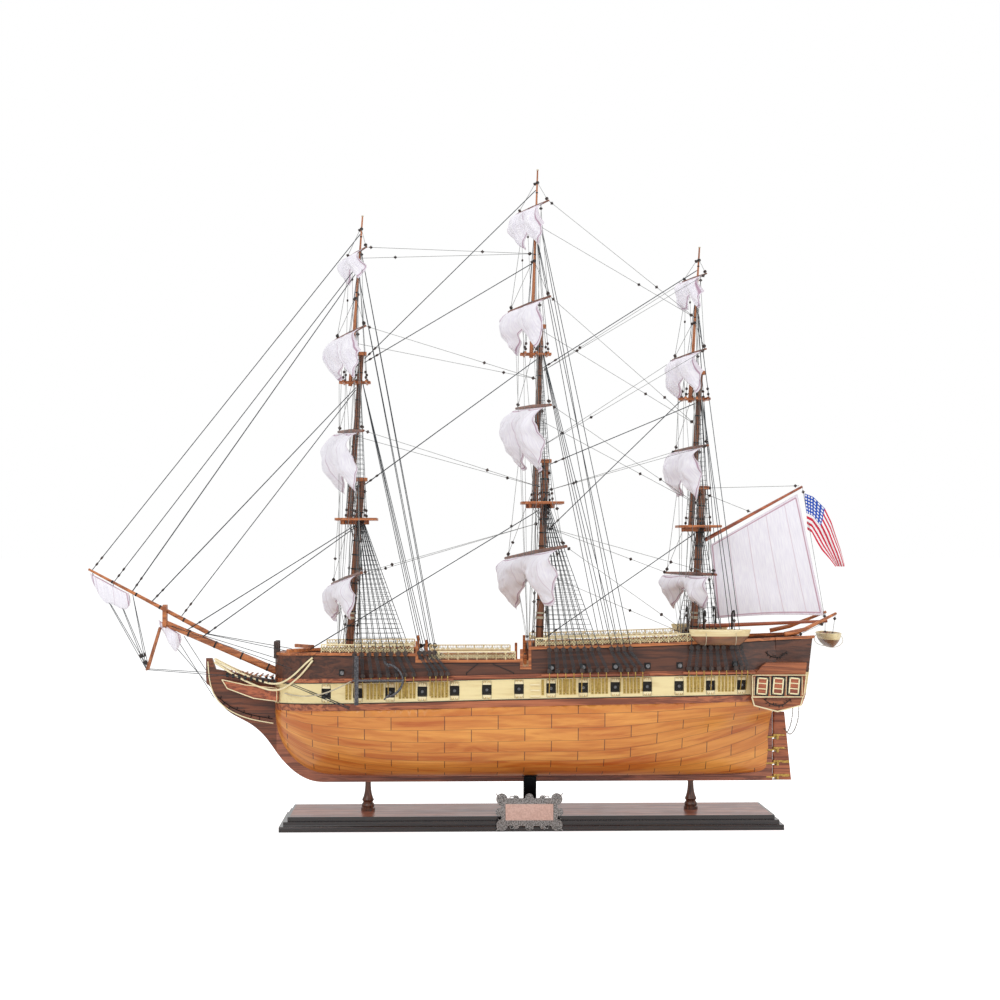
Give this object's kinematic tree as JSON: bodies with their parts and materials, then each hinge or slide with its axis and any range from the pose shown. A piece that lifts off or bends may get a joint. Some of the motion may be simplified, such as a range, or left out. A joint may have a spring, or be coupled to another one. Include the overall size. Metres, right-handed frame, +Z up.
{
  "type": "model sailing ship",
  "caption": "Three-masted square-rigged frigate display model with furled sails, planked hull and full rigging, standing on a moulded base with turned pedestals and a bare nameplate.",
  "frame": {"origin": "centre of the baseboard underside", "axes": "+Z up, bow towards -X and stern towards +X, port side with the nameplate towards -Y"},
  "size_m": [0.9677, 0.2942, 0.837],
  "materials": {
    "black_lacquer": "gloss black lacquer",
    "red_veneer": "satin lacquered veneer",
    "dark_wood": "satin lacquer",
    "steel": "zinc plated",
    "black_metal": "gloss black paint",
    "pewter": "antique pewter cast",
    "copper": "satin copper",
    "honey_wood": "satin lacquered planks",
    "rosewood": "satin lacquer",
    "cream_paint": "satin paint on wood",
    "walnut": "satin lacquer",
    "black_paint": "matte paint on wood",
    "plywood": "raw plywood",
    "deck_wood": "satin lacquered strips",
    "rail_wood": "satin lacquer",
    "block_wood": "stained and waxed",
    "ochre_brass": "dull brass",
    "brass": "aged brass",
    "mast_wood": "satin lacquer",
    "sailcloth": "thin cotton",
    "flag_cloth": "printed cotton",
    "grey_iron": "grey painted",
    "pale_rope": "cotton cord",
    "chain": "plain links",
    "tarred_rope": "dark waxed thread"
  },
  "bodies": {
    "ship": {"anchor_cable_port": "pale_rope", "anchor_cable_starboard": "pale_rope", "anchors": "grey_iron", "base_moulding": "black_lacquer", "base_panel": "red_veneer", "bowsprit": "rail_wood", "bulwark": "walnut", "cap_rail": "rail_wood", "capstan": "dark_wood", "catheads": "rail_wood", "chainplates": "ochre_brass", "channels": "rosewood", "cradle_strap": "black_metal", "crosstrees": "rail_wood", "davits": "rail_wood", "deadeyes": "block_wood", "dolphin_strikers": "rail_wood", "fighting_tops": "rail_wood", "flag": "flag_cloth", "fore_sails": "sailcloth", "fore_yards": "mast_wood", "gun_barrels": "steel", "gun_strake": "cream_paint", "hammock_netting": "cream_paint", "hatches": "dark_wood", "head_rails": "cream_paint", "headsails": "sailcloth", "hull_frame": "plywood", "hull_planking": "honey_wood", "jibboom": "rail_wood", "keel": "walnut", "lower_masts": "mast_wood", "main_sails": "sailcloth", "main_yards": "mast_wood", "mast_caps": "rail_wood", "mizzen_sails": "sailcloth", "mizzen_yards": "mast_wood", "nameplate": "copper", "nameplate_frame": "pewter", "pedestals": "dark_wood", "port_backing": "black_paint", "quarter_galleries": "walnut", "rudder_chain_port": "chain", "rudder_chain_starboard": "chain", "rudder_gudgeons": "brass", "ship_boats": "cream_paint", "shrouds": "tarred_rope", "spanker_sail": "sailcloth", "spanker_spars": "rosewood", "spar_deck": "deck_wood", "stand_screws": "steel", "stays_and_lines": "tarred_rope", "topgallant_masts": "rail_wood", "topmasts": "mast_wood", "transom": "walnut", "wale": "rosewood", "wheel_stand": "dark_wood"},
    "rudder_blade": {"rudder": "rosewood", "rudder_pintles": "brass"},
    "wheel": {"steering_wheel": "rail_wood"}
  },
  "joints": [
    {"name": "rudder_hinge", "type": "hinge", "parent": "ship", "child": "rudder_blade", "pos_m": [0.3145, 0, 0.1], "axis": [0, 0, 1], "range_deg": [-30, 30], "deforming": ["rudder_chain_port", "rudder_chain_starboard"]},
    {"name": "wheel_turn", "type": "hinge", "parent": "ship", "child": "wheel", "pos_m": [0.158, 0, 0.22174], "axis": [1, 0, 0], "continuous": true}
  ]
}
